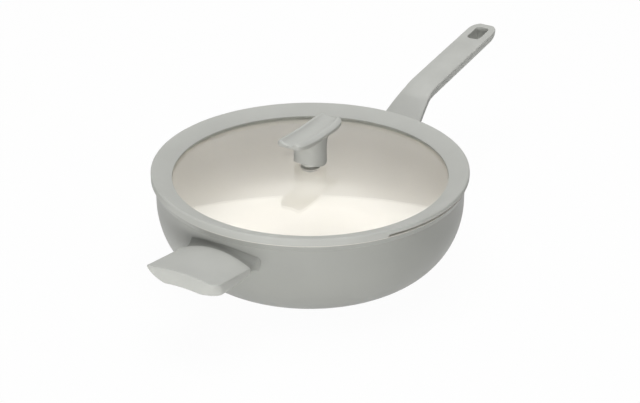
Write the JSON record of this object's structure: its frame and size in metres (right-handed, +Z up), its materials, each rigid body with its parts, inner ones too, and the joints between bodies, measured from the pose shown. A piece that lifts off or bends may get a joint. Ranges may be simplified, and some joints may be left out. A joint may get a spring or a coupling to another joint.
{
  "type": "wok with lid",
  "caption": "Deep round-bottomed wok with a long hanging handle, a short helper grip and a domed glass lid with a soft rim, drain notch and bar knob.",
  "frame": {"origin": "middle of the underside of the base, on the plane that the pan stands on", "axes": "+X along the long handle, away from the pan; +Z up through the lid's knob; -Y towards the drain notch"},
  "size_m": [0.5608, 0.2928, 0.1312],
  "materials": {
    "pan_lacquer": "satin pale grey lacquer outside, cream ceramic coating inside, on cast aluminium",
    "grip_plastic": "matt pale grey soft-touch plastic",
    "rim_silicone": "matt pale grey silicone",
    "clear_glass": "clear toughened glass",
    "steel": "plain stainless steel",
    "brass": "plain turned brass"
  },
  "bodies": {
    "pan": {"wok_body": "pan_lacquer", "base_disc": "steel", "handle_bracket": "pan_lacquer", "long_handle": "grip_plastic", "handle_screw": "steel", "handle_washer": "steel", "helper_bracket": "pan_lacquer", "helper_grip": "grip_plastic", "helper_screw_left": "steel", "helper_screw_right": "steel"},
    "lid": {"lid_glass": "clear_glass", "lid_rim": "rim_silicone", "knob_grip": "grip_plastic", "knob_collar": "rim_silicone", "knob_gasket": "rim_silicone", "knob_washer": "steel", "knob_screw": "steel", "knob_insert": "brass"}
  },
  "joints": [
    {"name": "lid_lift", "type": "slide", "parent": "pan", "child": "lid", "axis": [0, 0, 1], "range_m": [0, 0.15]}
  ]
}
